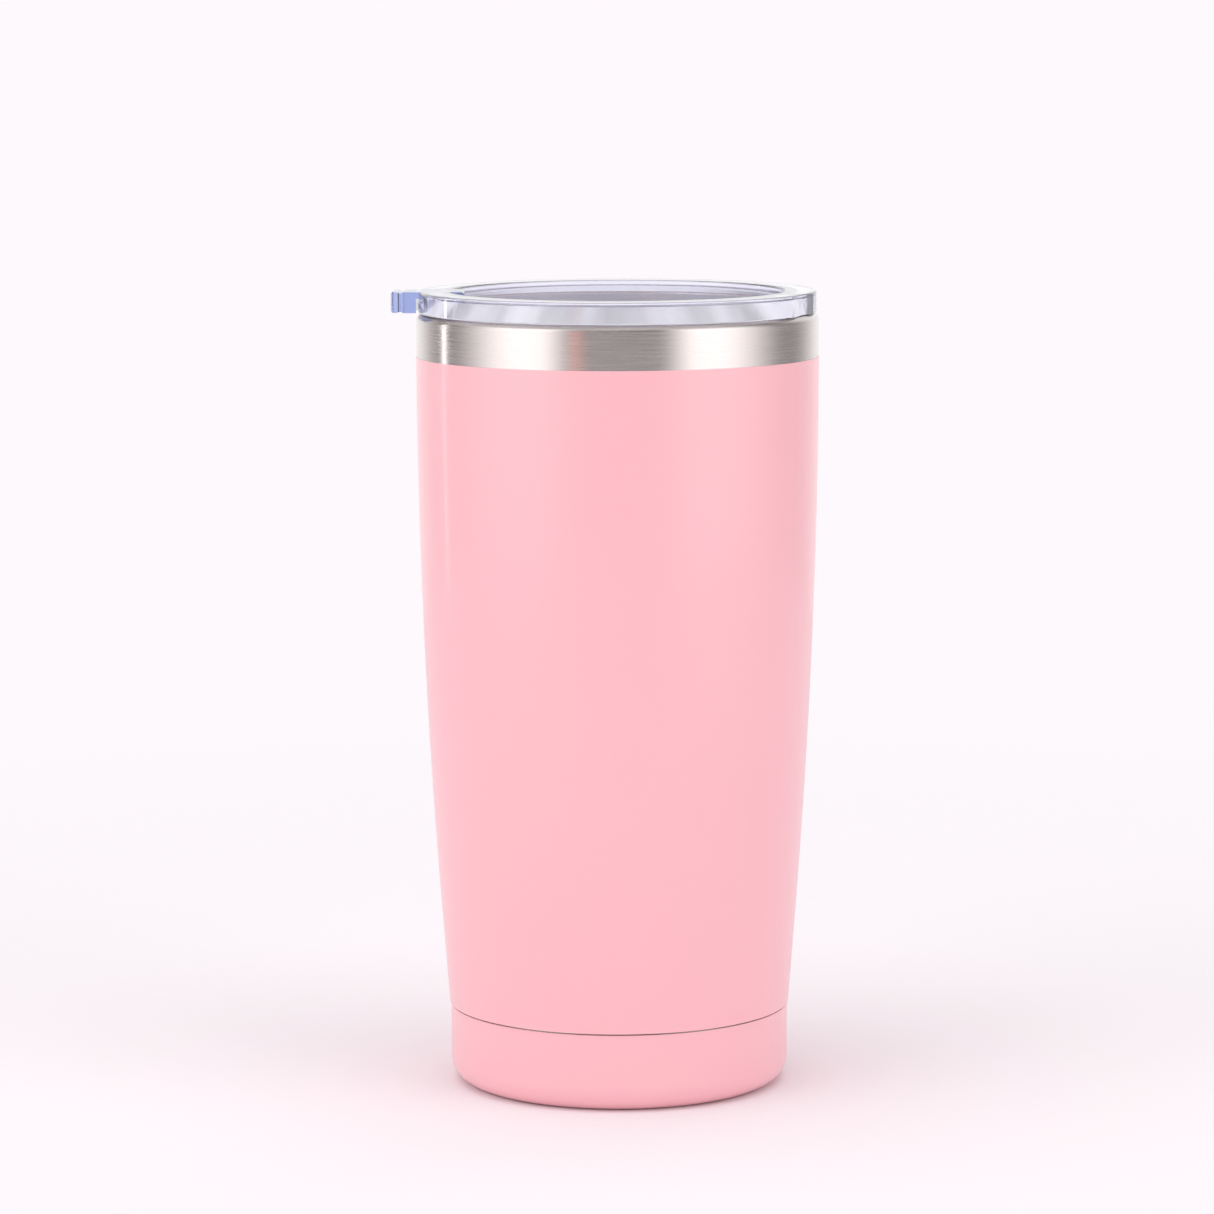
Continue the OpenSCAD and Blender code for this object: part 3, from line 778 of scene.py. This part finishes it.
class TUMBLER_OT_stage(bpy.types.Operator):
    """Sets the paper sweep, the softboxes, the room and the camera"""

    bl_idname = "tumbler.stage"
    bl_label = "Stage"

    def execute(self, context):
        scene = context.scene
        studio = scene.tumbler_studio
        scene.view_settings.view_transform = "Standard"
        self.sweep(scene)
        self.room(scene)
        softbox(scene, "top_softbox", studio.top_power, place=(0.0, -0.1, 1.3), size=(1.2, 1.2))
        softbox(scene, "front_fill", studio.front_power, place=(0.0, -1.6, 0.7), size=(2.0, 1.5))
        camera = bpy.data.cameras.new("camera")
        camera.lens = camera.sensor_width / 2 / math.tan(studio.view_angle / 2)
        stand = bpy.data.objects.new("camera", camera)
        stand.matrix_world = (
            Matrix.Translation(studio.camera_place)
            @ Matrix.Rotation(studio.camera_tilt, 4, "X")
            @ Matrix.Rotation(studio.camera_roll, 4, "Z"))
        scene.collection.objects.link(stand)
        scene.camera = stand
        return {"FINISHED"}

    def sweep(self, scene):
        """A round sheet of paper, wide enough to fade into the white behind it."""
        bm = bmesh.new()
        bmesh.ops.create_circle(bm, cap_ends=True, segments=96, radius=PAPER_RADIUS)
        mesh = bpy.data.meshes.new("sweep")
        bm.to_mesh(mesh)
        bm.free()
        mesh.materials.append(sweep_paper("matt_sweep_paper", scene.tumbler_colours.sweep))
        sheet = bpy.data.objects.new("sweep", mesh)
        scene.collection.objects.link(sheet)

    def room(self, scene):
        """Two soft walls of light, a dim camera side, a bright back, and white for the camera."""
        studio = scene.tumbler_studio
        world = bpy.data.worlds.new("room")
        world.use_nodes = True
        scene.world = world
        tree = world.node_tree
        tree.nodes.clear()
        sight = node(tree, "ShaderNodeTexCoord").outputs["Generated"]
        way = node(tree, "ShaderNodeSeparateXYZ", {"Vector": sight})
        # Angle round from straight behind the tumbler, the same on both sides
        round_angle = node(tree, "ShaderNodeMath", {
            0: way.outputs["X"], 1: way.outputs["Y"]}, operation="ARCTAN2")
        aside = node(tree, "ShaderNodeMath", {
            0: round_angle.outputs["Value"]}, operation="ABSOLUTE")
        # The ceiling hangs lower on the left
        height = node(tree, "ShaderNodeMath", {
            0: way.outputs["X"], 1: -studio.ceiling_tilt, 2: way.outputs["Z"]},
            operation="MULTIPLY_ADD")
        # Each light fades in between two angles, or between two heights of the line of sight
        fades = {
            "inner": (aside.outputs["Value"], math.radians(158), math.radians(133)),
            "outer": (aside.outputs["Value"], math.radians(68), math.radians(122)),
            "wall": (way.outputs["Z"], 0.9, 0.45),
            "low": (height.outputs["Value"], 0.62, 0.3),
            "through": (height.outputs["Value"], 0.62, 0.48),
            "back": (aside.outputs["Value"], math.radians(64), math.radians(24)),
            "ceiling": (height.outputs["Value"], 0.55, 0.75),
        }
        fade = {}
        for name, (value, start, full) in fades.items():
            made = node(tree, "ShaderNodeMapRange", {
                "Value": value, "From Min": start, "From Max": full},
                interpolation_type="SMOOTHSTEP")
            fade[name] = made.outputs["Result"]
        wall = node(tree, "ShaderNodeMath", {
            0: fade["inner"], 1: fade["outer"]}, operation="MULTIPLY")
        wall = node(tree, "ShaderNodeMath", {
            0: wall.outputs["Value"], 1: fade["wall"]}, operation="MULTIPLY")
        level = node(tree, "ShaderNodeMath", {
            0: wall.outputs["Value"], 1: studio.side_light, 2: studio.room_light},
            operation="MULTIPLY_ADD")
        back = node(tree, "ShaderNodeMath", {
            0: fade["back"], 1: fade["low"]}, operation="MULTIPLY")
        level = node(tree, "ShaderNodeMath", {
            0: back.outputs["Value"], 1: studio.back_light, 2: level.outputs["Value"]},
            operation="MULTIPLY_ADD")
        # The ceiling is uneven, which the lid's front wall shows
        cloud = node(tree, "ShaderNodeTexNoise", {"Vector": sight, "Scale": 5.0, "Detail": 2.0})
        cloud = node(tree, "ShaderNodeMapRange", {
            "Value": cloud.outputs["Fac"], "From Min": 0.3, "From Max": 0.7,
            "To Min": studio.ceiling_light * 0.5, "To Max": studio.ceiling_light * 1.5})
        level = node(tree, "ShaderNodeMath", {
            0: fade["ceiling"], 1: cloud.outputs["Result"], 2: level.outputs["Value"]},
            operation="MULTIPLY_ADD")
        path = node(tree, "ShaderNodeLightPath")
        # What looks out low through the lid sees the bright surroundings on all sides
        through = node(tree, "ShaderNodeMath", {
            0: path.outputs["Is Transmission Ray"], 1: fade["through"]}, operation="MULTIPLY")
        level = node(tree, "ShaderNodeMix", {
            0: through.outputs["Value"], 2: level.outputs["Value"], 3: studio.through_light})
        made = node(tree, "ShaderNodeBackground", {"Strength": level.outputs["Result"]})
        lit = made.outputs["Background"]
        # Narrow upright things that the steel mirrors: a bright gap and a warm stand.
        # Each has its place, the angles off it where it starts and is full, its colour and light
        strips = (
            (-62.5, 1.8, 0.5, "#FFFFFF", studio.gap_light),
            (-156.5, 5.0, 2.0, "#E0643C", studio.warm_light),
        )
        for place, start, full, colour, light in strips:
            off = node(tree, "ShaderNodeMath", {
                0: round_angle.outputs["Value"], 1: math.radians(place)}, operation="SUBTRACT")
            off = node(tree, "ShaderNodeMath", {0: off.outputs["Value"]}, operation="ABSOLUTE")
            near = node(tree, "ShaderNodeMapRange", {
                "Value": off.outputs["Value"], "From Min": math.radians(start),
                "From Max": math.radians(full), "To Max": light})
            strip = node(tree, "ShaderNodeMath", {
                0: near.outputs["Result"], 1: fade["low"]}, operation="MULTIPLY")
            strip = node(tree, "ShaderNodeBackground", {
                "Color": rgba(linear(colour)), "Strength": strip.outputs["Value"]})
            made = node(tree, "ShaderNodeAddShader", {0: lit, 1: strip.outputs["Background"]})
            lit = made.outputs["Shader"]
        white = node(tree, "ShaderNodeBackground", {"Color": rgba(linear(WHITE))})
        both = node(tree, "ShaderNodeMixShader", {
            0: path.outputs["Is Camera Ray"], 1: lit, 2: white.outputs["Background"]})
        node(tree, "ShaderNodeOutputWorld", {"Surface": both.outputs["Shader"]})


def sweep_paper(name, colour):
    """Matt paper: it takes the shadow, and glows a little for the camera so that it stays white."""
    made, tree, output, place = blank(name)
    fibre = node(tree, "ShaderNodeTexNoise", {
        "Vector": place, "Scale": per_metre(6), "Detail": 3.0})
    tone = node(tree, "ShaderNodeHueSaturation", {
        "Color": rgba(colour),
        "Value": node(tree, "ShaderNodeMapRange", {
            "Value": fibre.outputs["Fac"], "To Min": 0.995, "To Max": 1.005}).outputs["Result"]})
    matt = node(tree, "ShaderNodeBsdfDiffuse", {"Color": tone.outputs["Color"]})
    path = node(tree, "ShaderNodeLightPath")
    seen = node(tree, "ShaderNodeMath", {
        0: path.outputs["Is Camera Ray"], 1: path.outputs["Is Transmission Ray"]},
        operation="MAXIMUM")
    reach = node(tree, "ShaderNodeVectorMath", {0: place}, operation="LENGTH")
    far = node(tree, "ShaderNodeMapRange", {
        "Value": reach.outputs["Value"], "From Min": GLOW_START, "From Max": GLOW_FULL},
        interpolation_type="SMOOTHSTEP")
    share = node(tree, "ShaderNodeMath", {
        0: seen.outputs["Value"], 1: far.outputs["Result"]}, operation="MULTIPLY")
    white = node(tree, "ShaderNodeEmission", {"Color": rgba(linear(WHITE))})
    both = node(tree, "ShaderNodeMixShader", {
        0: share.outputs["Value"], 1: matt.outputs["BSDF"], 2: white.outputs["Emission"]})
    tree.links.new(both.outputs["Shader"], output.inputs["Surface"])
    return made


def softbox(scene, name, power, place, size):
    """A rectangular lamp that faces the tumbler's middle."""
    lamp = bpy.data.lights.new(name, "AREA")
    lamp.shape = "RECTANGLE"
    lamp.size, lamp.size_y = size
    lamp.energy = power
    stand = bpy.data.objects.new(name, lamp)
    middle = (CAD_BOX[0] + CAD_BOX[1]) / 2
    stand.rotation_euler = (middle - Vector(place)).to_track_quat("-Z", "Y").to_euler()
    stand.location = place
    # Only its light counts: the room gives what the steel and the clear lid show
    stand.visible_camera = stand.visible_glossy = stand.visible_transmission = False
    scene.collection.objects.link(stand)


class TUMBLER_PT_panel(bpy.types.Panel):
    """Lists the tumbler's steps, sizes and colours"""

    bl_idname = "TUMBLER_PT_panel"
    bl_label = "Tumbler"
    bl_space_type = "VIEW_3D"
    bl_region_type = "UI"
    bl_category = "Tumbler"

    def draw(self, context):
        for step in STEPS:
            self.layout.operator(step.bl_idname)
        for group in ("tumbler_sizes", "tumbler_lid", "tumbler_colours", "tumbler_studio"):
            held = getattr(context.scene, group)
            for name in held.__annotations__:
                self.layout.prop(held, name)


STEPS = (TUMBLER_OT_paint, TUMBLER_OT_steel, TUMBLER_OT_lid, TUMBLER_OT_flap, TUMBLER_OT_seals,
         TUMBLER_OT_stage)
CLASSES = (TumblerSizes, LidSizes, TumblerColours, StudioSettings, *STEPS, TUMBLER_PT_panel)


def register():
    for kind in CLASSES:
        bpy.utils.register_class(kind)
    bpy.types.Scene.tumbler_sizes = PointerProperty(type=TumblerSizes)
    bpy.types.Scene.tumbler_lid = PointerProperty(type=LidSizes)
    bpy.types.Scene.tumbler_colours = PointerProperty(type=TumblerColours)
    bpy.types.Scene.tumbler_studio = PointerProperty(type=StudioSettings)


def unregister():
    del bpy.types.Scene.tumbler_studio
    del bpy.types.Scene.tumbler_colours
    del bpy.types.Scene.tumbler_lid
    del bpy.types.Scene.tumbler_sizes
    for kind in reversed(CLASSES):
        bpy.utils.unregister_class(kind)


def main():
    register()
    bpy.ops.tumbler.paint()
    bpy.ops.tumbler.steel()
    bpy.ops.tumbler.lid()
    bpy.ops.tumbler.flap()
    bpy.ops.tumbler.seals()
    bpy.ops.tumbler.stage()


if __name__ == "__main__":
    main()
